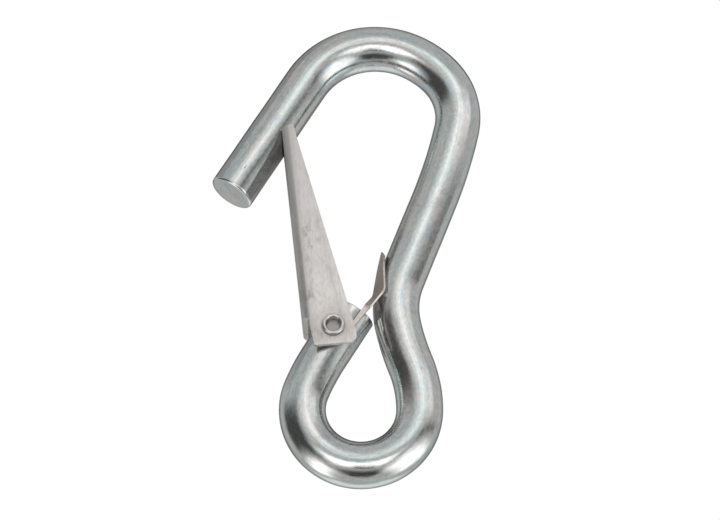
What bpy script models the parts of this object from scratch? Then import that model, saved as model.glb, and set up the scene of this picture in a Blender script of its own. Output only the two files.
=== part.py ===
"""Eye hook with latch: a hook bent from round zinc-plated bar, with a sprung sheet-steel latch.

Metres, +Z up. The hook lies in the XZ plane and its bowl is at the top. The origin is the seat of
the bowl, the highest point of its inner side, where the hook hangs on its load.
"""
import math

import bmesh
import bpy
from mathutils import Matrix, Vector

MM = 0.001
GAP = 0.3 * MM

# The bar: 7/16 inch wire.
BAR_RADIUS = 5.55 * MM
BAR_BEVEL_RESOLUTION = 8
SHARP_ANGLE = math.radians(35.0)
BEND_STEP = 1.3 * MM
STRAIGHT_STEP = 6.0 * MM
END_CHAMFER = 0.5 * MM
TIP_HEADING = math.radians(58.7)
TIP_LENGTH = 34.8 * MM
# Bends after the tip, in order, as (radius, turn in degrees). A clockwise turn is negative.
BOWL_BENDS = ((19.8 * MM, -78.1), (22.9 * MM, -27.4), (17.0 * MM, -55.7), (133.0 * MM, -8.5))
SHANK_LENGTH = 22.1 * MM
NECK_BENDS = ((20.7 * MM, 32.5), (66.0 * MM, 9.3))
EYE_BENDS = ((31.2 * MM, -21.5), (13.8 * MM, -201.2), (58.0 * MM, -9.5))
EYE_END_LENGTH = 12.7 * MM

# The pivot: a semi-tubular rivet through the bar, near its end at the eye and a little off its middle.
PIVOT_FROM_END = 7.6 * MM
PIVOT_ASIDE = 0.8 * MM
RIVET_RADIUS = 2.1 * MM
RIVET_BORE_RADIUS = 1.7 * MM
RIVET_BORE_DEPTH = 1.9 * MM
RIVET_RING_RADIUS = 2.65 * MM
RIVET_RING_HEIGHT = 0.6 * MM
RIVET_HEAD_RADIUS = 4.2 * MM
RIVET_HEAD_HEIGHT = 1.7 * MM
RIVET_STEPS = 32
DOME_STEPS = 9

# The latch: a channel of sheet steel whose spine is outside and whose cheeks straddle the bar.
SHEET = 1.2 * MM
CHEEK_INNER = 6.6 * MM
CHEEK_OUTER = CHEEK_INNER + SHEET
FOLD_RADIUS = 2.0 * MM
FOLD_STEPS = 6
LATCH_LEAN = math.radians(6.2)
SPINE_OFFSET = 7.0 * MM
SPINE_FOOT = 2.9 * MM
TIP_REACH = 53.0 * MM
TIP_WIDTH = 2.9 * MM
TIP_SHOULDER = 2.9 * MM
HEEL_DROP = 4.7 * MM
HEEL_FRONT = 5.2 * MM
HEEL_FRONT_HEIGHT = -2.1 * MM
HEEL_FRONT_CORNER = 1.6 * MM
HEEL_BACK = 5.0 * MM
HEEL_BACK_CORNER = 0.7 * MM
LOBE_SHOULDER = 5.7 * MM
BACK_HEEL_REACH = 3.9 * MM
SEAT_POINTS = 8

# The leaf spring: a strip that leans on the shank's front left side, crosses to the front of the
# bar's end and finishes in an ear round the rivet. Each station is a near-edge and a far-edge point.
LEAF_THICKNESS = 0.5 * MM
LEAF_LEG = (
    (Vector((2.1, -3.2, -51.3)) * MM, Vector((1.6, 0.3, -49.0)) * MM),
    (Vector((2.0, -4.95, -54.75)) * MM, Vector((0.6, -1.25, -54.25)) * MM),
    (Vector((2.15, -6.1, -61.35)) * MM, Vector((-0.6, -2.6, -61.8)) * MM),
)
EAR_Y = (BAR_RADIUS + CHEEK_INNER) / 2
EAR_RADIUS = 4.1 * MM
ARM_WIDTH = 1.3 * MM
ARM_END_WIDTH = 0.8 * MM
ARM_TWIST_END = 0.43
ARM_LANDING_RADIUS = 3.77 * MM
ARM_LANDING = math.radians(-37.0)

PART_NAME = "eye_hook_with_latch"


def remove_everything():
    for thing in list(bpy.data.objects):
        bpy.data.objects.remove(thing, do_unlink=True)


def new_collection(name):
    collection = bpy.data.collections.new(name)
    bpy.context.scene.collection.children.link(collection)
    return collection


def metal(name, colour, roughness):
    material = bpy.data.materials.new(name)
    material.use_nodes = True
    shader = material.node_tree.nodes["Principled BSDF"]
    shader.inputs["Base Color"].default_value = (*colour, 1.0)
    shader.inputs["Roughness"].default_value = roughness
    shader.inputs["Metallic"].default_value = 1.0
    return material


def bar_route():
    """Return the bar's centreline as (x, z, heading) from the hook's tip to the end at the eye."""
    x, z, heading = 0.0, 0.0, TIP_HEADING
    route = [(x, z, heading)]

    def run(length):
        nonlocal x, z
        steps = math.ceil(length / STRAIGHT_STEP)
        for _ in range(steps):
            x += length / steps * math.cos(heading)
            z += length / steps * math.sin(heading)
            route.append((x, z, heading))

    def bend(radius, degrees):
        nonlocal x, z, heading
        turn = math.radians(degrees)
        steps = math.ceil(radius * abs(turn) / BEND_STEP)
        side = math.copysign(radius, turn)
        for _ in range(steps):
            ahead = heading + turn / steps
            x += side * (math.sin(ahead) - math.sin(heading))
            z -= side * (math.cos(ahead) - math.cos(heading))
            heading = ahead
            route.append((x, z, heading))

    run(TIP_LENGTH)
    for radius, degrees in BOWL_BENDS:
        bend(radius, degrees)
    run(SHANK_LENGTH)
    for radius, degrees in NECK_BENDS + EYE_BENDS:
        bend(radius, degrees)
    run(EYE_END_LENGTH)

    crown_bend, _ = BOWL_BENDS[0]
    crown_x = TIP_LENGTH * math.cos(TIP_HEADING) + crown_bend * math.sin(TIP_HEADING)
    crown_z = TIP_LENGTH * math.sin(TIP_HEADING) + crown_bend * (1 - math.cos(TIP_HEADING))
    return [(x - crown_x, z - crown_z + BAR_RADIUS, heading) for x, z, heading in route]


def in_plane(x, z, y=0.0):
    return Vector((x, y, z))


def pivot_point(route):
    """Return the rivet's centre, a little way back from the bar's end at the eye."""
    end_x, end_z, heading = route[-1]
    return in_plane(
        end_x - PIVOT_FROM_END * math.cos(heading) - PIVOT_ASIDE * math.sin(heading),
        end_z - PIVOT_FROM_END * math.sin(heading) + PIVOT_ASIDE * math.cos(heading),
    )


def poly_curve(name, points, dimensions, cyclic):
    data = bpy.data.curves.new(name, "CURVE")
    data.dimensions = dimensions
    spline = data.splines.new("POLY")
    spline.points.add(len(points) - 1)
    for target, point in zip(spline.points, points):
        target.co = (*point, 1.0)
    spline.use_cyclic_u = cyclic
    return data, spline


def curve_to_mesh(name, curve_data, matrix, collection):
    """Turn a curve into a closed mesh object at the given place."""
    curve = bpy.data.objects.new(name + "_curve", curve_data)
    bpy.context.scene.collection.objects.link(curve)
    curve.matrix_world = matrix
    bpy.context.view_layer.update()
    evaluated = curve.evaluated_get(bpy.context.evaluated_depsgraph_get())
    mesh = bpy.data.meshes.new_from_object(evaluated)
    mesh.name = name
    edit = bmesh.new()
    edit.from_mesh(mesh)
    bmesh.ops.remove_doubles(edit, verts=edit.verts, dist=0.001 * MM)
    bmesh.ops.recalc_face_normals(edit, faces=edit.faces)
    edit.to_mesh(mesh)
    edit.free()
    solid = bpy.data.objects.new(name, mesh)
    collection.objects.link(solid)
    solid.matrix_world = matrix
    bpy.data.objects.remove(curve, do_unlink=True)
    return solid


def round_rod(name, points, radius, resolution, chamfer, collection):
    """Make a rod along the points, with its two end edges broken by a small chamfer."""
    data, spline = poly_curve(name, points, "3D", False)
    data.bevel_depth = radius
    data.bevel_resolution = resolution
    data.use_fill_caps = True
    for end in (0, -1):
        spline.points[end].radius = 1.0 - chamfer / radius
    return curve_to_mesh(name, data, Matrix.Identity(4), collection)


def plate(name, outline, half_thickness, matrix, collection):
    """Make a flat plate from a closed outline of (across, along) points in the matrix's XY plane."""
    points = [(across, along, 0.0) for across, along in outline]
    data, _ = poly_curve(name, points, "2D", True)
    data.fill_mode = "BOTH"
    data.extrude = half_thickness
    return curve_to_mesh(name, data, matrix, collection)


def arc(centre_across, centre_along, radius, start_degrees, end_degrees, steps):
    angles = [math.radians(start_degrees + (end_degrees - start_degrees) * i / steps) for i in range(steps + 1)]
    return [(centre_across + radius * math.cos(a), centre_along + radius * math.sin(a)) for a in angles]


def boolean(target, tool, operation):
    tool.hide_render = True
    tool.display_type = "WIRE"
    modifier = target.modifiers.new(operation.lower(), "BOOLEAN")
    modifier.object = tool
    modifier.operation = operation
    modifier.solver = "EXACT"


def move_to(thing, collection):
    for owner in thing.users_collection:
        owner.objects.unlink(thing)
    collection.objects.link(thing)


def cylinder_along_y(name, radius, length, centre, steps, collection):
    bpy.ops.mesh.primitive_cylinder_add(
        vertices=steps, radius=radius, depth=length, location=centre, rotation=(math.pi / 2, 0.0, 0.0)
    )
    cylinder = bpy.context.active_object
    cylinder.name = name
    move_to(cylinder, collection)
    return cylinder


def smooth(thing, material):
    thing.data.materials.clear()
    thing.data.materials.append(material)
    thing.data.shade_smooth()
    thing.data.set_sharp_from_angle(angle=SHARP_ANGLE)


def make_hook_body(route, pivot, parts, cutters):
    """The bent bar, with the rivet's hole drilled through it."""
    points = [in_plane(x, z) for x, z, _ in route]
    points.insert(1, points[0] + (points[1] - points[0]).normalized() * END_CHAMFER)
    points.insert(-1, points[-1] + (points[-2] - points[-1]).normalized() * END_CHAMFER)
    body = round_rod("hook_body", points, BAR_RADIUS, BAR_BEVEL_RESOLUTION, END_CHAMFER, parts)
    drill = cylinder_along_y(
        "rivet_drill", RIVET_RADIUS + GAP, 3 * BAR_RADIUS, pivot, RIVET_STEPS, cutters
    )
    boolean(body, drill, "DIFFERENCE")
    smooth(body, metal("zinc_plated_bar", (0.62, 0.64, 0.64), 0.28))
    return body


def latch_matrix(pivot):
    """Place the latch's own axes: X across the channel, Y up along its spine, Z towards the front."""
    across = Vector((math.cos(LATCH_LEAN), 0.0, math.sin(LATCH_LEAN)))
    along = Vector((-math.sin(LATCH_LEAN), 0.0, math.cos(LATCH_LEAN)))
    front = across.cross(along)
    turn = Matrix((across, along, front)).transposed().to_4x4()
    return Matrix.Translation(pivot) @ turn


def latch_side_outline():
    """The side of the latch, seen from the front, round the pivot at (0, 0)."""
    spine = -SPINE_OFFSET
    tip = [
        (spine, TIP_REACH),
        (spine + TIP_WIDTH, TIP_REACH),
        (spine + TIP_WIDTH + GAP, TIP_REACH - TIP_SHOULDER),
    ]
    front_centre = HEEL_FRONT - HEEL_FRONT_CORNER
    back_centre = HEEL_BACK_CORNER - HEEL_BACK
    heel = (
        [(HEEL_FRONT, HEEL_FRONT_HEIGHT)]
        + arc(front_centre, HEEL_FRONT_CORNER - HEEL_DROP, HEEL_FRONT_CORNER, 0, -90, FOLD_STEPS)
        + arc(back_centre, HEEL_BACK_CORNER - HEEL_DROP, HEEL_BACK_CORNER, -90, -160, FOLD_STEPS)
    )
    lobe = [(-LOBE_SHOULDER, SPINE_FOOT - 2 * GAP), (spine, SPINE_FOOT)]
    return tip + heel + lobe


def channel_section():
    """The folded sheet's section: X across the channel from the spine's outer face, Y its width."""
    depth = 2 * (SPINE_OFFSET + HEEL_FRONT)
    inner_fold = FOLD_RADIUS - SHEET
    outer_centre = CHEEK_OUTER - FOLD_RADIUS
    outer = (
        [(depth, -CHEEK_OUTER)]
        + arc(FOLD_RADIUS, -outer_centre, FOLD_RADIUS, 270, 180, FOLD_STEPS)
        + arc(FOLD_RADIUS, outer_centre, FOLD_RADIUS, 180, 90, FOLD_STEPS)
        + [(depth, CHEEK_OUTER)]
    )
    inner = (
        [(depth, CHEEK_INNER)]
        + arc(FOLD_RADIUS, outer_centre, inner_fold, 90, 180, FOLD_STEPS)
        + arc(FOLD_RADIUS, -outer_centre, inner_fold, 180, 270, FOLD_STEPS)
        + [(depth, -CHEEK_INNER)]
    )
    return outer + inner


def back_heel_clip(route, pivot, cutters):
    """A block that clips the back cheek's heel along the bar, so that it keeps out of the eye."""
    _, _, heading = route[-1]
    size = 4 * BAR_RADIUS
    inward = in_plane(math.sin(heading), -math.cos(heading))
    centre = pivot + inward * (BACK_HEEL_REACH + size / 2) + in_plane(0.0, 0.0, size / 2)
    bpy.ops.mesh.primitive_cube_add(size=size, location=centre, rotation=(0.0, -heading, 0.0))
    clip = bpy.context.active_object
    clip.name = "back_heel_clip"
    move_to(clip, cutters)
    return clip


def make_latch(route, pivot, parts, cutters):
    """A folded channel, cut to its tapered side outline, drilled, and notched where it meets the bar."""
    place = latch_matrix(pivot)
    section_turn = Matrix.Translation((-SPINE_OFFSET, 0.0, 0.0)) @ Matrix.Rotation(-math.pi / 2, 4, "X")
    latch = plate("latch", channel_section(), TIP_REACH, place @ section_turn, parts)
    side = plate("latch_side", latch_side_outline(), 2 * CHEEK_OUTER, place, cutters)
    boolean(latch, side, "INTERSECT")
    drill = cylinder_along_y(
        "latch_drill", RIVET_RADIUS + GAP, 4 * CHEEK_OUTER, pivot, RIVET_STEPS, cutters
    )
    boolean(latch, drill, "DIFFERENCE")
    tip_points = [in_plane(x, z) for x, z, _ in route[:SEAT_POINTS]]
    seat = round_rod("tip_seat", tip_points, BAR_RADIUS + GAP, BAR_BEVEL_RESOLUTION, 0.0, cutters)
    boolean(latch, seat, "DIFFERENCE")
    boolean(latch, back_heel_clip(route, pivot, cutters), "DIFFERENCE")
    smooth(latch, metal("bare_sheet_steel", (0.60, 0.55, 0.53), 0.5))
    return latch


def make_pivot_rivet(pivot, parts):
    """A turned rivet: a domed head at the back, a shank through the bar and a rolled ring in front."""
    ring_base = CHEEK_OUTER + GAP
    ring_top = ring_base + RIVET_RING_HEIGHT
    head_base = -ring_base
    dome = [
        (RIVET_HEAD_RADIUS * math.cos(a), head_base - RIVET_HEAD_HEIGHT * math.sin(a))
        for a in (math.pi / 2 * step / DOME_STEPS for step in range(DOME_STEPS))
    ]
    ring_middle = (RIVET_BORE_RADIUS + RIVET_RING_RADIUS) / 2
    profile = [
        (0.0, ring_top - RIVET_BORE_DEPTH),
        (RIVET_BORE_RADIUS, ring_top - RIVET_BORE_DEPTH),
        (RIVET_BORE_RADIUS, ring_top - RIVET_RING_HEIGHT / 3),
        (ring_middle, ring_top),
        (RIVET_RING_RADIUS, ring_top - RIVET_RING_HEIGHT / 3),
        (RIVET_RING_RADIUS, ring_base),
        (RIVET_RADIUS, ring_base),
        (RIVET_RADIUS, head_base),
        *dome,
        (0.0, head_base - RIVET_HEAD_HEIGHT),
    ]
    mesh = bpy.data.meshes.new("pivot_rivet")
    edges = [(i, i + 1) for i in range(len(profile) - 1)]
    mesh.from_pydata([(r, 0.0, z) for r, z in profile], edges, [])
    rivet = bpy.data.objects.new("pivot_rivet", mesh)
    parts.objects.link(rivet)
    rivet.location = pivot
    rivet.rotation_euler = (math.pi / 2, 0.0, 0.0)
    screw = rivet.modifiers.new("turn", "SCREW")
    screw.steps = RIVET_STEPS
    screw.render_steps = RIVET_STEPS
    screw.use_merge_vertices = True
    screw.merge_threshold = 0.01 * MM
    smooth(rivet, metal("bright_rivet_steel", (0.66, 0.66, 0.65), 0.3))
    return rivet


def leaf_stations(pivot):
    """The strip's sections from its free end to the rivet, each as a near-edge and a far-edge point."""
    bend_near, _ = LEAF_LEG[-1]
    arm_start = in_plane(bend_near.x, bend_near.z, -EAR_Y)
    landing = in_plane(math.cos(ARM_LANDING), math.sin(ARM_LANDING)) * ARM_LANDING_RADIUS
    arm_end = pivot + landing + in_plane(0.0, 0.0, -EAR_Y)
    down = (arm_end - arm_start).normalized()
    side = in_plane(down.z, -down.x)
    beside_bar = arm_start.lerp(arm_end, ARM_TWIST_END)
    return [
        *LEAF_LEG,
        (beside_bar, beside_bar + side * ARM_WIDTH),
        (arm_end, arm_end + side * ARM_END_WIDTH),
    ]


def make_latch_spring(pivot, parts, cutters):
    """A bent strip from the shank to an eye round the rivet, between the front cheek and the bar."""
    stations = leaf_stations(pivot)
    mesh = bpy.data.meshes.new("latch_spring")
    points = [point for pair in stations for point in pair]
    faces = [(2 * i, 2 * i + 1, 2 * i + 3, 2 * i + 2) for i in range(len(stations) - 1)]
    mesh.from_pydata(points, [], faces)
    spring = bpy.data.objects.new("latch_spring", mesh)
    parts.objects.link(spring)
    solidify = spring.modifiers.new("thickness", "SOLIDIFY")
    solidify.thickness = LEAF_THICKNESS
    solidify.offset = 0.0
    ear_centre = pivot - Vector((0.0, EAR_Y, 0.0))
    ear = cylinder_along_y("spring_ear", EAR_RADIUS, LEAF_THICKNESS, ear_centre, RIVET_STEPS, cutters)
    boolean(spring, ear, "UNION")
    drill = cylinder_along_y("ear_drill", RIVET_RADIUS + GAP, 4 * LEAF_THICKNESS, ear_centre, RIVET_STEPS, cutters)
    boolean(spring, drill, "DIFFERENCE")
    smooth(spring, metal("spring_steel", (0.55, 0.49, 0.45), 0.4))
    return spring


def main():
    remove_everything()
    parts = new_collection(PART_NAME)
    cutters = new_collection("cutters")
    route = bar_route()
    pivot = pivot_point(route)
    make_hook_body(route, pivot, parts, cutters)
    make_latch(route, pivot, parts, cutters)
    make_pivot_rivet(pivot, parts)
    make_latch_spring(pivot, parts, cutters)


main()
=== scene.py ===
import math

import bmesh
import bpy
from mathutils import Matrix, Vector, kdtree, noise


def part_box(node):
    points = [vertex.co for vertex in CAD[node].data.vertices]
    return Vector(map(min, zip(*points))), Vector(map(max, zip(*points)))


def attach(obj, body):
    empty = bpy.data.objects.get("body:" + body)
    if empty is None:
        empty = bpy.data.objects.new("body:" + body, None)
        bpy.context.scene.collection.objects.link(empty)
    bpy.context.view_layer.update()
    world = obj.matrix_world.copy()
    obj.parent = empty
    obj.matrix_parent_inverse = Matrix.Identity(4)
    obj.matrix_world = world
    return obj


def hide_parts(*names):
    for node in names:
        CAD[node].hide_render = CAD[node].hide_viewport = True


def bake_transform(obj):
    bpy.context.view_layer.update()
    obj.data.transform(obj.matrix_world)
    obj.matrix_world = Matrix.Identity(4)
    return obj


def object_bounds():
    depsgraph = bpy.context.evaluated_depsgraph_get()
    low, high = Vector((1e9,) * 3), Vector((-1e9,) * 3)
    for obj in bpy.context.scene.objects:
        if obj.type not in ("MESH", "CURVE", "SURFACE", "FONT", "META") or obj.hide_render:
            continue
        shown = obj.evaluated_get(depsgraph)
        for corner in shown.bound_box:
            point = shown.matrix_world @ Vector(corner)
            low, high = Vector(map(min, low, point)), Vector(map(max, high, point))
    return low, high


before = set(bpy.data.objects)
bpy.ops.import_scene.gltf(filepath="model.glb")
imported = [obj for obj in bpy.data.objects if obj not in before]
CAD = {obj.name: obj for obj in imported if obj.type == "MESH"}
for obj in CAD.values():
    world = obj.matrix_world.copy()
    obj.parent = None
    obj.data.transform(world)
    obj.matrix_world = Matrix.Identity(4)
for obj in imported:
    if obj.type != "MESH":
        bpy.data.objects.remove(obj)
cad_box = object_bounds()

MM = 0.001
SEED_SHIFT = Vector((17.3, 4.1, 29.7))

# The bar, as it is bent: radius and turn in degrees of each bend after the straight tip.
BAR_RADIUS = (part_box("hook_body")[1].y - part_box("hook_body")[0].y) / 2
TIP_HEADING = math.radians(58.7)
TIP_LENGTH = 34.8 * MM
BOWL_BENDS = ((19.8 * MM, -78.1), (22.9 * MM, -27.4), (17.0 * MM, -55.7), (133.0 * MM, -8.5))
SHANK_LENGTH = 22.1 * MM
NECK_BENDS = ((20.7 * MM, 32.5), (66.0 * MM, 9.3))
EYE_BENDS = ((31.2 * MM, -21.5), (13.8 * MM, -201.2), (58.0 * MM, -9.5))
EYE_END_LENGTH = 12.7 * MM
BAR_STEP = 0.6 * MM
BAR_SIDES = 80
TIP_END_ROUND = 0.5 * MM
TIP_END_SLANT = math.radians(4.0)
EYE_END_ROUND = 0.2 * MM
BAR_END_MARGIN = 1.1 * MM
BAR_END_STEPS = 5
BAR_FACE_RINGS = 6
BAR_WOBBLE = 0.035 * MM
BAR_WOBBLE_SIZE = 7.0 * MM
BAR_FACE_DISH = 0.06 * MM

# The pivot, which is where the rivet's solid is centred.
RIVET_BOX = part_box("pivot_rivet")
PIVOT = Vector(((RIVET_BOX[0].x + RIVET_BOX[1].x) / 2, 0.0, (RIVET_BOX[0].z + RIVET_BOX[1].z) / 2))
HOLE_RADIUS = 2.4 * MM
RIVET_RADIUS = 2.1 * MM
RIVET_BORE_RADIUS = 1.7 * MM
RIVET_BORE_DEPTH = 1.9 * MM
RIVET_RING_RADIUS = 2.65 * MM
RIVET_RING_HEIGHT = 0.6 * MM
RIVET_HEAD_RADIUS = (RIVET_BOX[1].x - RIVET_BOX[0].x) / 2
RIVET_HEAD_HEIGHT = 1.7 * MM
RIVET_STEPS = 72
RIVET_FILLET = 0.15 * MM
RIVET_RELIEF = 0.05 * MM
RIVET_RING_STEPS = 12
RIVET_DOME_STEPS = 14
RIVET_WOBBLE_PACE = 1.6
RIVET_WOBBLE = 0.02 * MM

LATCH_LEAN = math.radians(6.2)
LATCH_EDGE = 0.28 * MM
LATCH_EDGE_ANGLE = 38.0
LATCH_FLAT_ANGLE = 1.0

# The leaf spring's leg, as near-edge and far-edge points, and its ear round the rivet.
LEAF_THICKNESS = 0.5 * MM
LEAF_LEG = (
    (Vector((2.1, -3.2, -51.3)) * MM, Vector((1.6, 0.3, -49.0)) * MM),
    (Vector((2.0, -4.95, -54.75)) * MM, Vector((0.6, -1.25, -54.25)) * MM),
    (Vector((2.15, -6.1, -61.35)) * MM, Vector((-0.6, -2.6, -61.8)) * MM),
)
CHEEK_INNER = 6.6 * MM
EAR_Y = (BAR_RADIUS + CHEEK_INNER) / 2
EAR_RADIUS = 4.1 * MM
ARM_WIDTH = 1.3 * MM
ARM_END_WIDTH = 0.8 * MM
ARM_TWIST_END = 0.43
ARM_LANDING_RADIUS = 3.77 * MM
ARM_LANDING = math.radians(-37.0)
LEAF_FILLET = 0.9 * MM
LEAF_FILLET_STEPS = 6
LEAF_EDGE = 0.06 * MM
LEAF_EDGE_ANGLE = 50.0

# The camera stands where the photo was taken from: in front of the hook and a little below it.
LENS = 150.0
SENSOR = 36.0
VIEW_ELEVATION = math.radians(-23.0)
VIEW_DISTANCE = 0.7208
AIM = Vector((-3.72, 0.0, -51.12)) * MM
FLOOR_DROP = 0.32
FLOOR_SIZE = 12.0
FLOOR_COLOUR = (0.86, 0.86, 0.85, 1.0)
FLOOR_ROUGHNESS = 0.9
WHITE = (1.0, 1.0, 1.0, 1.0)
CLIP_START = 0.01
MERGE_DISTANCE = 0.0005 * MM
CAD_MERGE_DISTANCE = 0.002 * MM


def in_plane(x, z, y=0.0):
    return Vector((x, y, z))


def mesh_piece(name, vertices, faces):
    """Make a mesh piece with outward normals."""
    mesh = bpy.data.meshes.new(name)
    mesh.from_pydata(vertices, [], faces)
    edit = bmesh.new()
    edit.from_mesh(mesh)
    bmesh.ops.recalc_face_normals(edit, faces=edit.faces)
    edit.to_mesh(mesh)
    edit.free()
    piece = bpy.data.objects.new(name, mesh)
    bpy.context.scene.collection.objects.link(piece)
    return piece


def apply_modifiers(piece):
    """Keep what the modifiers make as the piece's own mesh."""
    bpy.context.view_layer.update()
    evaluated = piece.evaluated_get(bpy.context.evaluated_depsgraph_get())
    mesh = bpy.data.meshes.new_from_object(evaluated)
    piece.modifiers.clear()
    piece.data = mesh


def cut(piece, tool, operation="DIFFERENCE"):
    """Cut the tool's shape out of the piece, or join it on, and remove the tool."""
    modifier = piece.modifiers.new("cut", "BOOLEAN")
    modifier.operation = operation
    modifier.solver = "EXACT"
    modifier.object = tool
    apply_modifiers(piece)
    bpy.data.objects.remove(tool, do_unlink=True)


def ease_edges(piece, width, angle, segments=2):
    modifier = piece.modifiers.new("edges", "BEVEL")
    modifier.width = width
    modifier.segments = segments
    modifier.limit_method = "ANGLE"
    modifier.angle_limit = math.radians(angle)
    modifier.use_clamp_overlap = True
    modifier.harden_normals = False
    apply_modifiers(piece)


def finish_piece(piece, material, slot, body, *nodes, sharp=40.0):
    piece.data.materials.clear()
    piece.data.materials.append(material)
    piece.data.shade_smooth()
    piece.data.set_sharp_from_angle(angle=math.radians(sharp))
    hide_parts(*nodes)
    if body:
        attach(piece, body)


def ring_faces(rings, sides):
    """The four-sided faces between rings of points that follow one another."""
    faces = []
    for ring in range(rings - 1):
        here, after = ring * sides, (ring + 1) * sides
        for i in range(sides):
            beside = (i + 1) % sides
            faces.append((here + i, here + beside, after + beside, after + i))
    return faces


def cap_faces(ring, sides, middle):
    """The triangles between one ring of points and the point in its middle."""
    first = ring * sides
    return [(first + i, first + (i + 1) % sides, middle) for i in range(sides)]


def cylinder_along_y(name, radius, y_low, y_high, centre, steps):
    """A closed cylinder round the line through the centre along Y."""
    turns = [2 * math.pi * i / steps for i in range(steps)]
    vertices = [
        (centre.x + radius * math.cos(a), y, centre.z + radius * math.sin(a))
        for y in (y_low, y_high)
        for a in turns
    ]
    faces = [(i, (i + 1) % steps, (i + 1) % steps + steps, i + steps) for i in range(steps)]
    faces += [tuple(range(steps)), tuple(range(steps, 2 * steps))]
    return mesh_piece(name, vertices, faces)


def bar_route(step):
    """Return the bar's centreline as (x, z, heading, distance) from the tip to the end at the eye."""
    x, z, heading, along = 0.0, 0.0, TIP_HEADING, 0.0
    route = [(x, z, heading, along)]

    def run(length):
        nonlocal x, z, along
        steps = math.ceil(length / step)
        for _ in range(steps):
            x += length / steps * math.cos(heading)
            z += length / steps * math.sin(heading)
            along += length / steps
            route.append((x, z, heading, along))

    def bend(radius, degrees):
        nonlocal x, z, heading, along
        turn = math.radians(degrees)
        steps = math.ceil(radius * abs(turn) / step)
        side = math.copysign(radius, turn)
        for _ in range(steps):
            ahead = heading + turn / steps
            x += side * (math.sin(ahead) - math.sin(heading))
            z -= side * (math.cos(ahead) - math.cos(heading))
            heading = ahead
            along += radius * abs(turn) / steps
            route.append((x, z, heading, along))

    run(TIP_LENGTH)
    for radius, degrees in BOWL_BENDS:
        bend(radius, degrees)
    run(SHANK_LENGTH)
    for radius, degrees in NECK_BENDS + EYE_BENDS:
        bend(radius, degrees)
    run(EYE_END_LENGTH)
    crown_bend, _ = BOWL_BENDS[0]
    crown_x = TIP_LENGTH * math.cos(TIP_HEADING) + crown_bend * math.sin(TIP_HEADING)
    crown_z = TIP_LENGTH * math.sin(TIP_HEADING) + crown_bend * (1 - math.cos(TIP_HEADING))
    return [(x - crown_x, z - crown_z + BAR_RADIUS, heading, along) for x, z, heading, along in route]


def bar_frame(station):
    """Return a station's centre, its direction along the bar and its sideways direction in the plane."""
    x, z, heading, _ = station
    ahead = in_plane(math.cos(heading), math.sin(heading))
    side = in_plane(-math.sin(heading), math.cos(heading))
    return in_plane(x, z), ahead, side


def end_profile(rounding):
    """Return (inset from the end, radius) pairs over a sheared end, from its middle to the full bar."""
    face_radius = BAR_RADIUS - rounding
    face = [(0.0, face_radius * i / BAR_FACE_RINGS) for i in range(1, BAR_FACE_RINGS)]
    edge = [
        (rounding * (1 - math.cos(a)), face_radius + rounding * math.sin(a))
        for a in (math.pi / 2 * i / BAR_END_STEPS for i in range(BAR_END_STEPS + 1))
    ]
    return face + edge


def make_bar(route):
    """The bent bar: rings of points along its route, with sheared ends whose edges are slightly rolled."""
    length = route[-1][3]
    stations = [
        (station, 0.0, BAR_RADIUS)
        for station in route
        if BAR_END_MARGIN < station[3] < length - BAR_END_MARGIN
    ]
    first = [(route[0], inset, radius) for inset, radius in end_profile(TIP_END_ROUND)]
    last = [(route[-1], -inset, radius) for inset, radius in reversed(end_profile(EYE_END_ROUND))]
    rings = first + stations + last
    vertices = []
    for station, inset, radius in rings:
        centre, ahead, side = bar_frame(station)
        dish = BAR_FACE_DISH * (1 - (radius / BAR_RADIUS) ** 2)
        at_end = station is route[0] or station is route[-1]
        middle = centre + ahead * (inset + math.copysign(dish, inset) * at_end)
        for i in range(BAR_SIDES):
            turn = 2 * math.pi * i / BAR_SIDES
            out = side * math.cos(turn) + Vector((0.0, 1.0, 0.0)) * math.sin(turn)
            point = middle + out * radius
            if station is route[0]:
                point -= ahead * point.y * math.tan(TIP_END_SLANT)
            bump = noise.noise(point / BAR_WOBBLE_SIZE + SEED_SHIFT)
            vertices.append(point + out * BAR_WOBBLE * bump * radius / BAR_RADIUS)
    faces = ring_faces(len(rings), BAR_SIDES)
    for station, ring, sign in ((route[0], 0, 1.0), (route[-1], len(rings) - 1, -1.0)):
        centre, ahead, _ = bar_frame(station)
        vertices.append(centre + ahead * sign * BAR_FACE_DISH)
        tip = len(vertices) - 1
        faces += cap_faces(ring, BAR_SIDES, tip)
    bar = mesh_piece("bent_bar", vertices, faces)
    cut(bar, cylinder_along_y("drill", HOLE_RADIUS, -2 * BAR_RADIUS, 2 * BAR_RADIUS, PIVOT, RIVET_STEPS))
    return bar


def store_bar_coordinates(bar, route):
    """Store on each point its place on the bar before it was bent: along, across and depth."""
    tree = kdtree.KDTree(len(route))
    for i, station in enumerate(route):
        tree.insert(bar_frame(station)[0], i)
    tree.balance()
    values = []
    for vertex in bar.data.vertices:
        _, i, _ = tree.find((vertex.co.x, 0.0, vertex.co.z))
        centre, ahead, side = bar_frame(route[i])
        away = vertex.co - centre
        values += [route[i][3] + away.dot(ahead), away.dot(side), away.y]
    attribute = bar.data.attributes.new("bar_coords", "FLOAT_VECTOR", "POINT")
    attribute.data.foreach_set("vector", values)


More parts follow.
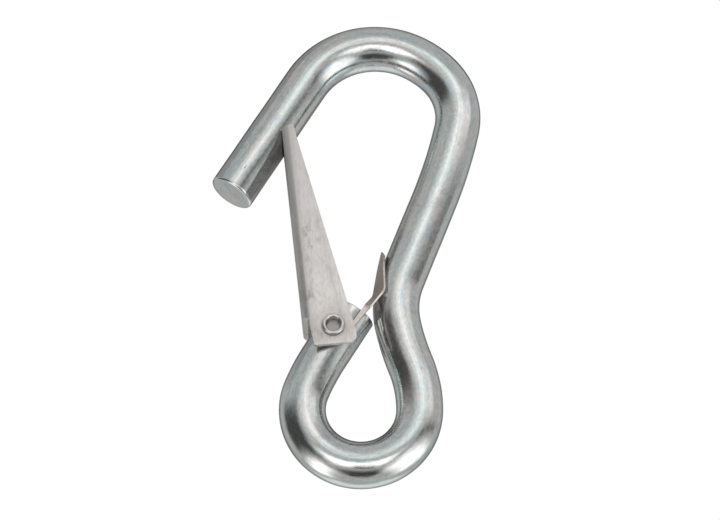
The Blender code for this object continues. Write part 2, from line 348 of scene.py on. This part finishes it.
def make_rivet():
    """The turned rivet: domed head at the back, shank, and in front the tube end rolled into a ring."""
    ring_base = -RIVET_BOX[0].y - RIVET_RING_HEIGHT
    ring_top = ring_base + RIVET_RING_HEIGHT
    head_base = -(RIVET_BOX[1].y - RIVET_HEAD_HEIGHT)
    ring_middle = (RIVET_BORE_RADIUS + RIVET_RING_RADIUS) / 2
    ring_half = (RIVET_RING_RADIUS - RIVET_BORE_RADIUS) / 2
    ring_edge = ring_base + RIVET_FILLET
    bore_floor = ring_top - RIVET_BORE_DEPTH
    bore = [(0.0, bore_floor), (RIVET_BORE_RADIUS - RIVET_FILLET, bore_floor)]
    bore += [(RIVET_BORE_RADIUS, bore_floor + RIVET_FILLET), (RIVET_BORE_RADIUS, ring_base)]
    ring = [
        (ring_middle - ring_half * math.cos(a), ring_edge + (ring_top - ring_edge) * math.sin(a))
        for a in (math.pi * i / RIVET_RING_STEPS for i in range(RIVET_RING_STEPS + 1))
    ]
    shank = [
        (RIVET_RING_RADIUS, ring_base),
        (RIVET_RADIUS, ring_base - RIVET_RELIEF),
        (RIVET_RADIUS, head_base),
    ]
    dome_base = head_base - RIVET_FILLET
    dome_height = RIVET_HEAD_HEIGHT - RIVET_FILLET
    head = [(RIVET_HEAD_RADIUS - RIVET_FILLET, head_base)]
    head += [
        (RIVET_HEAD_RADIUS * math.cos(a), dome_base - dome_height * math.sin(a))
        for a in (math.pi / 2 * i / RIVET_DOME_STEPS for i in range(RIVET_DOME_STEPS))
    ]
    profile = bore + ring + shank + head
    vertices = []
    for radius, height in profile:
        for i in range(RIVET_STEPS):
            turn = 2 * math.pi * i / RIVET_STEPS
            out = in_plane(math.cos(turn), math.sin(turn))
            bump = noise.noise(out * RIVET_WOBBLE_PACE + SEED_SHIFT)
            wobble = RIVET_WOBBLE * bump * (height > bore_floor)
            reach = radius + wobble * min(1.0, radius / MM)
            vertices.append(PIVOT + out * reach + Vector((0.0, -height, 0.0)))
    faces = ring_faces(len(profile), RIVET_STEPS)
    vertices.append(PIVOT + Vector((0.0, -(head_base - RIVET_HEAD_HEIGHT), 0.0)))
    faces += cap_faces(len(profile) - 1, RIVET_STEPS, len(vertices) - 1)
    rivet = mesh_piece("turned_rivet", vertices, faces)
    edit = bmesh.new()
    edit.from_mesh(rivet.data)
    bmesh.ops.remove_doubles(edit, verts=edit.verts, dist=MERGE_DISTANCE)
    bmesh.ops.recalc_face_normals(edit, faces=edit.faces)
    edit.to_mesh(rivet.data)
    edit.free()
    return rivet


def make_latch():
    """The stamped latch: the CAD channel, with its flat faces whole again and its cut edges eased."""
    latch = bpy.data.objects.new("stamped_latch", CAD["latch"].data.copy())
    bpy.context.scene.collection.objects.link(latch)
    edit = bmesh.new()
    edit.from_mesh(latch.data)
    bmesh.ops.remove_doubles(edit, verts=edit.verts, dist=CAD_MERGE_DISTANCE)
    flat = math.radians(LATCH_FLAT_ANGLE)
    bmesh.ops.dissolve_limit(edit, angle_limit=flat, verts=edit.verts, edges=edit.edges)
    bmesh.ops.recalc_face_normals(edit, faces=edit.faces)
    edit.to_mesh(latch.data)
    edit.free()
    ease_edges(latch, LATCH_EDGE, LATCH_EDGE_ANGLE)
    return latch


def leaf_stations():
    """The strip's sections from its free end to the rivet, with the bends filleted."""
    bend_near, _ = LEAF_LEG[-1]
    arm_start = in_plane(bend_near.x, bend_near.z, -EAR_Y)
    landing = in_plane(math.cos(ARM_LANDING), math.sin(ARM_LANDING)) * ARM_LANDING_RADIUS
    arm_end = PIVOT + landing + in_plane(0.0, 0.0, -EAR_Y)
    down = (arm_end - arm_start).normalized()
    side = in_plane(down.z, -down.x)
    beside_bar = arm_start.lerp(arm_end, ARM_TWIST_END)
    corners = [
        *LEAF_LEG,
        (beside_bar, beside_bar + side * ARM_WIDTH),
        (arm_end, arm_end + side * ARM_END_WIDTH),
    ]
    stations = [corners[0]]
    for before, here, after in zip(corners, corners[1:], corners[2:]):
        back = [h + (b - h).normalized() * LEAF_FILLET for b, h in zip(before, here)]
        on = [h + (a - h).normalized() * LEAF_FILLET for a, h in zip(after, here)]
        for i in range(LEAF_FILLET_STEPS + 1):
            t = i / LEAF_FILLET_STEPS
            section = [
                b * (1 - t) ** 2 + h * 2 * t * (1 - t) + o * t * t
                for b, h, o in zip(back, here, on)
            ]
            stations.append(tuple(section))
    stations.append(corners[-1])
    return stations


def make_spring():
    """The leaf spring: a thin bent strip with an ear round the rivet, and slightly rounded edges."""
    stations = leaf_stations()
    vertices = [point for pair in stations for point in pair]
    faces = [(2 * i, 2 * i + 1, 2 * i + 3, 2 * i + 2) for i in range(len(stations) - 1)]
    spring = mesh_piece("leaf_spring", vertices, faces)
    solidify = spring.modifiers.new("thickness", "SOLIDIFY")
    solidify.thickness = LEAF_THICKNESS
    solidify.offset = 0.0
    solidify.use_even_offset = True
    apply_modifiers(spring)
    near, far = -EAR_Y - LEAF_THICKNESS / 2, -EAR_Y + LEAF_THICKNESS / 2
    ear = cylinder_along_y("ear", EAR_RADIUS, near, far, PIVOT, RIVET_STEPS)
    cut(spring, ear, "UNION")
    cut(spring, cylinder_along_y("drill", HOLE_RADIUS, -2 * EAR_Y, 0.0, PIVOT, RIVET_STEPS))
    ease_edges(spring, LEAF_EDGE, LEAF_EDGE_ANGLE, segments=1)
    return spring


def new_material(name):
    material = bpy.data.materials.new(name)
    material.use_nodes = True
    return material, material.node_tree, material.node_tree.nodes["Principled BSDF"]


def add(tree, kind, settings=None, inputs=None):
    """Add a node, set its settings, and give each named input a value or a link."""
    made = tree.nodes.new(kind)
    for key, value in (settings or {}).items():
        setattr(made, key, value)
    for key, value in (inputs or {}).items():
        if isinstance(value, bpy.types.NodeSocket):
            tree.links.new(value, made.inputs[key])
        else:
            made.inputs[key].default_value = value
    return made


def scaled(tree, vector, scale):
    return add(tree, "ShaderNodeVectorMath", {"operation": "MULTIPLY"}, {0: vector, 1: scale}).outputs[0]


def noise_of(tree, vector, size, detail=4.0, roughness=0.55):
    """Noise whose features are about `size` metres across."""
    return add(
        tree,
        "ShaderNodeTexNoise",
        None,
        {"Vector": vector, "Scale": 1.0 / size, "Detail": detail, "Roughness": roughness},
    ).outputs[0]


def ranged(tree, value, low, high, to_low, to_high, curve="LINEAR"):
    """Take a value that runs from low to high to one that runs from to_low to to_high, and no further."""
    return add(
        tree,
        "ShaderNodeMapRange",
        {"interpolation_type": curve},
        {"Value": value, "From Min": low, "From Max": high, "To Min": to_low, "To Max": to_high},
    ).outputs[0]


def faded(tree, value, low, high, to_low, to_high):
    """The same as ranged, with a soft start and end."""
    return ranged(tree, value, low, high, to_low, to_high, curve="SMOOTHSTEP")


def mixed(tree, factor, a, b):
    """Mix two colours. A Mix node's factor is input 0, its colours are inputs 6 and 7 and output 2."""
    made = add(tree, "ShaderNodeMix", {"data_type": "RGBA", "blend_type": "MIX"})
    for index, value in ((0, factor), (6, a), (7, b)):
        if isinstance(value, bpy.types.NodeSocket):
            tree.links.new(value, made.inputs[index])
        elif index:
            made.inputs[index].default_value = (*value, 1.0)
        else:
            made.inputs[index].default_value = value
    return made.outputs[2]


def maths(tree, operation, a, b):
    return add(tree, "ShaderNodeMath", {"operation": operation}, {0: a, 1: b}).outputs[0]


def bumped(tree, shader, height, distance):
    bump = add(tree, "ShaderNodeBump", None, {"Height": height, "Distance": distance, "Strength": 1.0})
    tree.links.new(bump.outputs[0], shader.inputs["Normal"])


# What the materials are made of: the size of each feature, and the colours that it mixes in.
ZINC_PINK = (0.68, 0.66, 0.635)
ZINC_GREEN = (0.615, 0.68, 0.655)
ZINC_BLUE = (0.52, 0.60, 0.655)
ZINC_MOTTLED = (0.36, 0.375, 0.385)
ZINC_STREAKED = (0.34, 0.37, 0.365)
ZINC_DULLED = (0.36, 0.37, 0.39)
ZINC_PITTED = (0.11, 0.11, 0.115)
ZINC_TINT_SIZE = 3.2 * MM
ZINC_HUE_SIZE = 2.0 * MM
ZINC_MOTTLE_SIZE = 0.55 * MM
ZINC_STREAK_SIZE = 0.6 * MM
ZINC_PATCH_SIZE = 5.0 * MM
ZINC_SPECK_SIZE = 0.42 * MM
ZINC_SPECK_GROUP_SIZE = 6.5 * MM
ZINC_SCRATCH_SIZE = 0.16 * MM
ZINC_SKIN_SIZE = 1.3 * MM
ZINC_BUMP = 0.03 * MM
# How far a feature is drawn out along the bar: the smaller the first number, the longer.
ZINC_DRAWN = (0.16, 1.0, 1.0)
ZINC_FINELY_DRAWN = (0.05, 1.0, 1.0)
ZINC_HUE_DRAWN = (0.35, 1.0, 1.0)
ZINC_MOTTLE_DRAWN = (0.5, 1.0, 1.0)

SHEET_DARKER = (0.90, 0.86, 0.83)
SHEET_LIGHTER = (0.95, 0.925, 0.90)
SHEET_GRAIN = (0.50, 0.47, 0.45)
# The next two colours are painted shade on the fold's outside and a painted highlight along its crease.
SHEET_FOLD_SHADE = (0.46, 0.475, 0.455)
SHEET_CREASE_HIGHLIGHT = (0.93, 0.91, 0.89)
# The next colour darkens the latch towards its tip.
SHEET_TIPWARD_DARK = (0.58, 0.545, 0.53)
SHEET_SMUDGE = (0.33, 0.29, 0.28)
# The next colour is painted shade beside the spine's foot.
SHEET_FOOT_SHADE = (0.20, 0.20, 0.20)
SHEET_STAIN = (0.46, 0.36, 0.30)
SHEET_GRAIN_SIZE = 0.4 * MM
SHEET_CLOUD_SIZE = 5.5 * MM
SHEET_RUB_SIZE = 1.5 * MM
SHEET_RUB_GROUP_SIZE = 6.0 * MM
SHEET_BUMP = 0.03 * MM
SHEET_METALLIC = 0.75
SHEET_GRAIN_DRAWN = (1.0, 1.0, 0.3)
SHEET_RUB_DRAWN = (1.0, 1.0, 0.45)
SHEET_RUB_GROUP_DRAWN = (1.0, 1.0, 0.5)
# Where the latch's marks start and end, measured from the pivot: across the cheek, which has the spine on
# its negative side, up the spine, or straight out.
SHEET_FOLD_SHADE_ACROSS = (-5.6 * MM, -5.3 * MM)
SHEET_CREASE_HIGHLIGHT_ACROSS = (-5.3 * MM, -4.6 * MM)
SHEET_TIPWARD_DARK_UP = (5.0 * MM, 48.0 * MM)
SHEET_SMUDGE_ACROSS = (-3.2 * MM, 0.5 * MM)
# Where the painted shade beside the spine's foot starts and ends.
SHEET_FOOT_SHADE_UP = (-0.5 * MM, 1.0 * MM)
SHEET_FOOT_SHADE_OUTER = (-6.65 * MM, -6.5 * MM)
SHEET_FOOT_SHADE_INNER = (-5.75 * MM, -5.6 * MM)
SHEET_STAIN_REACH = (8.2 * MM, 10.5 * MM)
SHEET_STAIN_RAGGED = 1.5 * MM

RIVET_DARKER = (0.56, 0.53, 0.51)
RIVET_LIGHTER = (0.70, 0.69, 0.67)
# The next colour is painted shade down the rivet's bore.
RIVET_BORE_SHADE = (0.25, 0.23, 0.22)
RIVET_MOTTLE_SIZE = 0.5 * MM
RIVET_BUMP = 0.03 * MM
# How deep the painted shade starts and ends, from the front to the back: down the bore, and not on the
# head.
RIVET_BORE_SHADE_START = (-7.9 * MM, -6.9 * MM)
RIVET_BORE_SHADE_END = (7.0 * MM, 7.4 * MM)

SPRING_DARKER = (0.62, 0.55, 0.515)
SPRING_LIGHTER = (0.74, 0.69, 0.655)
SPRING_MARK_SIZE = 0.8 * MM
SPRING_BUMP = 0.02 * MM
SPRING_MARK_DRAWN = (0.5, 0.5, 2.2)


def zinc_material():
    """Bright zinc plate: lengthwise drawn streaks, faint iridescence, mottling, dull patches and specks."""
    material, tree, shader = new_material("bright_zinc_plate")
    coords = add(tree, "ShaderNodeAttribute", {"attribute_name": "bar_coords"}).outputs["Vector"]
    drawn = scaled(tree, coords, ZINC_DRAWN)
    fine_drawn = scaled(tree, coords, ZINC_FINELY_DRAWN)
    tint = noise_of(tree, drawn, ZINC_TINT_SIZE, detail=3.0)
    colour = mixed(tree, faded(tree, tint, 0.40, 0.60, 0.0, 1.0), ZINC_PINK, ZINC_GREEN)
    hue = noise_of(tree, scaled(tree, coords, ZINC_HUE_DRAWN), ZINC_HUE_SIZE, detail=5.0)
    colour = mixed(tree, faded(tree, hue, 0.50, 0.72, 0.0, 0.8), colour, ZINC_BLUE)
    stretched = scaled(tree, coords, ZINC_MOTTLE_DRAWN)
    mottle = noise_of(tree, stretched, ZINC_MOTTLE_SIZE, detail=6.0, roughness=0.65)
    colour = mixed(tree, faded(tree, mottle, 0.35, 0.68, 0.45, 0.0), colour, ZINC_MOTTLED)
    streak = noise_of(tree, fine_drawn, ZINC_STREAK_SIZE, detail=4.0, roughness=0.6)
    colour = mixed(tree, faded(tree, streak, 0.52, 0.66, 0.0, 0.32), colour, ZINC_STREAKED)
    patch = noise_of(tree, coords, ZINC_PATCH_SIZE, detail=5.0, roughness=0.7)
    colour = mixed(tree, faded(tree, patch, 0.54, 0.70, 0.0, 0.45), colour, ZINC_DULLED)
    group = noise_of(tree, coords, ZINC_SPECK_GROUP_SIZE, detail=2.0)
    speck = faded(tree, noise_of(tree, drawn, ZINC_SPECK_SIZE, detail=1.0), 0.73, 0.80, 0.0, 1.0)
    speck = maths(tree, "MULTIPLY", speck, faded(tree, group, 0.50, 0.62, 0.0, 1.0))
    colour = mixed(tree, maths(tree, "MULTIPLY", speck, 0.75), colour, ZINC_PITTED)
    tree.links.new(colour, shader.inputs["Base Color"])
    shader.inputs["Metallic"].default_value = 1.0
    rough = ranged(tree, mottle, 0.3, 0.7, 0.11, 0.20)
    rough = maths(tree, "ADD", rough, faded(tree, patch, 0.45, 0.75, 0.0, 0.10))
    rough = maths(tree, "ADD", rough, maths(tree, "MULTIPLY", speck, 0.3))
    tree.links.new(rough, shader.inputs["Roughness"])
    scratches = noise_of(tree, fine_drawn, ZINC_SCRATCH_SIZE, detail=2.0)
    skin = noise_of(tree, drawn, ZINC_SKIN_SIZE, detail=4.0)
    height = maths(tree, "MULTIPLY", scratches, 0.12)
    height = maths(tree, "ADD", height, maths(tree, "MULTIPLY", mottle, 0.10))
    height = maths(tree, "ADD", height, maths(tree, "MULTIPLY", skin, 1.0))
    height = maths(tree, "SUBTRACT", height, maths(tree, "MULTIPLY", speck, 1.2))
    bumped(tree, shader, height, ZINC_BUMP)
    return material


def latch_coordinates(tree):
    """Object coordinates turned so that Z runs up the latch's spine, with the pivot at zero."""
    coords = add(tree, "ShaderNodeTexCoord").outputs["Object"]
    moved = add(tree, "ShaderNodeVectorMath", {"operation": "SUBTRACT"}, {0: coords, 1: tuple(PIVOT)})
    turned = {"Vector": moved.outputs[0], "Angle": LATCH_LEAN}
    return add(tree, "ShaderNodeVectorRotate", {"rotation_type": "Y_AXIS"}, turned).outputs[0]


def sheet_material():
    """Bare sheet steel: warm matte grey with grain, smudges and a faint stain, darker towards the tip, with
    painted shade on the fold and beside the spine's foot, and a painted highlight along the fold's crease.
    """
    material, tree, shader = new_material("matte_sheet_steel")
    coords = latch_coordinates(tree)
    across, _, up_spine = add(tree, "ShaderNodeSeparateXYZ", None, {0: coords}).outputs
    grain = noise_of(tree, scaled(tree, coords, SHEET_GRAIN_DRAWN), SHEET_GRAIN_SIZE, detail=4.0)
    cloud = noise_of(tree, coords, SHEET_CLOUD_SIZE, detail=5.0, roughness=0.6)
    colour = mixed(tree, faded(tree, cloud, 0.35, 0.65, 0.0, 1.0), SHEET_DARKER, SHEET_LIGHTER)
    colour = mixed(tree, faded(tree, grain, 0.33, 0.62, 0.42, 0.0), colour, SHEET_GRAIN)
    # Painted shade on the outside of the fold, with a painted highlight line along its crease.
    fold_shade = faded(tree, across, *SHEET_FOLD_SHADE_ACROSS, 0.55, 0.0)
    colour = mixed(tree, fold_shade, colour, SHEET_FOLD_SHADE)
    crease_highlight = faded(tree, across, *SHEET_CREASE_HIGHLIGHT_ACROSS, 0.6, 0.0)
    crease_highlight = maths(tree, "MULTIPLY", crease_highlight, faded(tree, across, *SHEET_FOLD_SHADE_ACROSS, 0.0, 1.0))
    colour = mixed(tree, crease_highlight, colour, SHEET_CREASE_HIGHLIGHT)
    # Darker towards the latch's tip, up the spine.
    tipward_dark = ranged(tree, up_spine, *SHEET_TIPWARD_DARK_UP, 0.0, 0.5)
    colour = mixed(tree, tipward_dark, colour, SHEET_TIPWARD_DARK)
    # Smudges gather in groups towards the fold.
    rub = noise_of(tree, scaled(tree, coords, SHEET_RUB_DRAWN), SHEET_RUB_SIZE, detail=6.0, roughness=0.7)
    group = noise_of(tree, scaled(tree, coords, SHEET_RUB_GROUP_DRAWN), SHEET_RUB_GROUP_SIZE, detail=2.0)
    smudge = faded(tree, rub, 0.47, 0.66, 0.0, 0.5)
    smudge = maths(tree, "MULTIPLY", smudge, faded(tree, group, 0.42, 0.60, 0.0, 1.0))
    smudge = maths(tree, "MULTIPLY", smudge, faded(tree, across, *SHEET_SMUDGE_ACROSS, 1.0, 0.25))
    colour = mixed(tree, smudge, colour, SHEET_SMUDGE)
    # Painted shade lies beside the spine's foot.
    painted_shade = faded(tree, up_spine, *SHEET_FOOT_SHADE_UP, 0.7, 0.0)
    painted_shade = maths(tree, "MULTIPLY", painted_shade, faded(tree, across, *SHEET_FOOT_SHADE_OUTER, 0.0, 1.0))
    painted_shade = maths(tree, "MULTIPLY", painted_shade, faded(tree, across, *SHEET_FOOT_SHADE_INNER, 1.0, 0.0))
    colour = mixed(tree, painted_shade, colour, SHEET_FOOT_SHADE)
    reach = add(tree, "ShaderNodeVectorMath", {"operation": "LENGTH"}, {0: coords}).outputs["Value"]
    ragged = maths(tree, "ADD", reach, ranged(tree, rub, 0.3, 0.7, -SHEET_STAIN_RAGGED, SHEET_STAIN_RAGGED))
    stain = faded(tree, ragged, *SHEET_STAIN_REACH, 0.22, 0.0)
    colour = mixed(tree, stain, colour, SHEET_STAIN)
    tree.links.new(colour, shader.inputs["Base Color"])
    shader.inputs["Metallic"].default_value = SHEET_METALLIC
    rough = ranged(tree, grain, 0.3, 0.7, 0.46, 0.60)
    rough = maths(tree, "ADD", rough, maths(tree, "MULTIPLY", smudge, 0.15))
    tree.links.new(rough, shader.inputs["Roughness"])
    height = maths(tree, "ADD", maths(tree, "MULTIPLY", grain, 0.8), maths(tree, "MULTIPLY", rub, 0.5))
    bumped(tree, shader, height, SHEET_BUMP)
    return material


def rivet_material():
    """Bright rivet steel: a mottled surface, and painted shade down the bore."""
    material, tree, shader = new_material("bright_rivet_steel")
    coords = latch_coordinates(tree)
    mottle = noise_of(tree, coords, RIVET_MOTTLE_SIZE, detail=5.0, roughness=0.65)
    colour = mixed(tree, faded(tree, mottle, 0.35, 0.65, 0.0, 1.0), RIVET_DARKER, RIVET_LIGHTER)
    depth = add(tree, "ShaderNodeSeparateXYZ", None, {0: coords}).outputs["Y"]
    # Painted shade down the bore, darker the deeper it goes.
    painted_shade = faded(tree, depth, *RIVET_BORE_SHADE_START, 0.0, 0.72)
    inside = faded(tree, depth, *RIVET_BORE_SHADE_END, 1.0, 0.0)
    colour = mixed(tree, maths(tree, "MULTIPLY", painted_shade, inside), colour, RIVET_BORE_SHADE)
    tree.links.new(colour, shader.inputs["Base Color"])
    shader.inputs["Metallic"].default_value = 1.0
    tree.links.new(ranged(tree, mottle, 0.3, 0.7, 0.24, 0.42), shader.inputs["Roughness"])
    bumped(tree, shader, mottle, RIVET_BUMP)
    return material


def spring_material():
    """Tempered strip steel: tan-grey, with fine marks across the strip."""
    material, tree, shader = new_material("tempered_strip_steel")
    coords = add(tree, "ShaderNodeTexCoord").outputs["Object"]
    stretched = scaled(tree, coords, SPRING_MARK_DRAWN)
    marks = noise_of(tree, stretched, SPRING_MARK_SIZE, detail=5.0, roughness=0.65)
    colour = mixed(tree, faded(tree, marks, 0.35, 0.65, 0.0, 1.0), SPRING_DARKER, SPRING_LIGHTER)
    tree.links.new(colour, shader.inputs["Base Color"])
    shader.inputs["Metallic"].default_value = 1.0
    tree.links.new(ranged(tree, marks, 0.3, 0.7, 0.34, 0.5), shader.inputs["Roughness"])
    bumped(tree, shader, marks, SPRING_BUMP)
    return material


def make_camera():
    data = bpy.data.cameras.new("camera")
    data.lens = LENS
    data.sensor_width = SENSOR
    data.clip_start = CLIP_START
    camera = bpy.data.objects.new("camera", data)
    bpy.context.scene.collection.objects.link(camera)
    ahead = Vector((0.0, math.cos(VIEW_ELEVATION), -math.sin(VIEW_ELEVATION)))
    camera.location = AIM - ahead * VIEW_DISTANCE
    camera.rotation_euler = ahead.to_track_quat("-Z", "Y").to_euler()
    bpy.context.scene.camera = camera


def make_floor():
    half = FLOOR_SIZE / 2
    height = cad_box[0][2] - FLOOR_DROP
    corners = [(x, y, height) for x, y in ((-half, -half), (half, -half), (half, half), (-half, half))]
    floor = mesh_piece("floor", corners, [(0, 1, 2, 3)])
    material, _, shader = new_material("pale_floor")
    shader.inputs["Base Color"].default_value = FLOOR_COLOUR
    shader.inputs["Roughness"].default_value = FLOOR_ROUGHNESS
    floor.data.materials.append(material)
    floor.visible_glossy = False


# What the metal reflects: soft boxes, and dark flags between them. Each is its azimuth from the front,
# its elevation, its half width, half height and soft edge in degrees, and its strength.
STUDIO_BASE = 0.62
STUDIO_DARKEST = 0.02
STUDIO_PANELS = {
    "key box round the lens": (-2.0, -17.0, 20.0, 10.0, 8.0, 2.4),
    "lens in the key box": (2.0, -23.0, 9.0, 9.0, 5.0, -1.6),
    "low right box": (73.0, -35.0, 39.0, 19.0, 10.0, 1.3),
    "low left box": (-88.0, -47.0, 37.0, 11.0, 9.0, 1.5),
    "high right box": (35.0, 24.0, 33.0, 11.0, 7.0, 0.53),
    "left flag": (-65.0, -3.0, 36.0, 22.0, 9.0, -0.53),
    "low flag": (2.0, -62.0, 40.0, 16.0, 10.0, -0.54),
    "right flag": (64.0, 0.0, 31.0, 4.0, 5.0, -0.45),
    "ceiling flag": (-150.0, 56.0, 72.0, 18.0, 12.0, -0.24),
    "dark cloth behind": (180.0, 22.0, 42.0, 30.0, 12.0, -0.38),
    "front box": (4.0, 26.0, 20.0, 14.0, 12.0, 0.4),
    "low back box": (180.0, -38.0, 36.0, 14.0, 8.0, 0.5),
}


def within(tree, angle, middle, half, soft):
    """1 inside the given span of an angle, fading softly to 0 outside it."""
    turn = maths(tree, "WRAP", maths(tree, "SUBTRACT", angle, math.radians(middle)), math.pi)
    turn.node.inputs[2].default_value = -math.pi
    away = maths(tree, "ABSOLUTE", turn, 0.0)
    return faded(tree, away, math.radians(half - soft), math.radians(half + soft), 1.0, 0.0)


def panel(tree, azimuth, elevation, at, high, half_width, half_height, soft, strength):
    across = within(tree, azimuth, at, half_width, soft)
    up = within(tree, elevation, high, half_height, soft)
    return maths(tree, "MULTIPLY", maths(tree, "MULTIPLY", across, up), strength)


def make_studio():
    """White background to the camera; for the metal, a grey room with soft boxes."""
    world = bpy.data.worlds.new("studio")
    world.use_nodes = True
    bpy.context.scene.world = world
    tree = world.node_tree
    tree.nodes.clear()
    ray = add(tree, "ShaderNodeTexCoord").outputs["Generated"]
    x, y, z = add(tree, "ShaderNodeSeparateXYZ", None, {0: ray}).outputs
    azimuth = maths(tree, "ARCTAN2", x, maths(tree, "MULTIPLY", y, -1.0))
    elevation = maths(tree, "ARCSINE", z, 0.0)
    total = STUDIO_BASE
    for place in STUDIO_PANELS.values():
        total = maths(tree, "ADD", panel(tree, azimuth, elevation, *place), total)
    total = maths(tree, "MAXIMUM", total, STUDIO_DARKEST)
    room = add(tree, "ShaderNodeBackground", None, {"Color": WHITE, "Strength": total})
    white = add(tree, "ShaderNodeBackground", None, {"Color": WHITE, "Strength": 1.0})
    seen = add(tree, "ShaderNodeLightPath").outputs["Is Camera Ray"]
    both = add(tree, "ShaderNodeMixShader", None, {0: seen, 1: room.outputs[0], 2: white.outputs[0]})
    output = tree.nodes.new("ShaderNodeOutputWorld")
    tree.links.new(both.outputs[0], output.inputs["Surface"])
    bpy.context.scene.view_settings.view_transform = "Standard"


def main():
    route = bar_route(BAR_STEP)
    bar = make_bar(route)
    store_bar_coordinates(bar, bar_route(BAR_STEP / 3))
    finish_piece(bar, zinc_material(), "zinc_plated_bar", "hook", "hook_body")
    finish_piece(make_latch(), sheet_material(), "sheet_steel", "latch", "latch")
    finish_piece(make_rivet(), rivet_material(), "rivet_steel", "hook", "pivot_rivet")
    spring = make_spring()
    finish_piece(spring, spring_material(), "spring_steel", None, "latch_spring")
    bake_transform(spring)
    make_camera()
    make_floor()
    make_studio()


main()
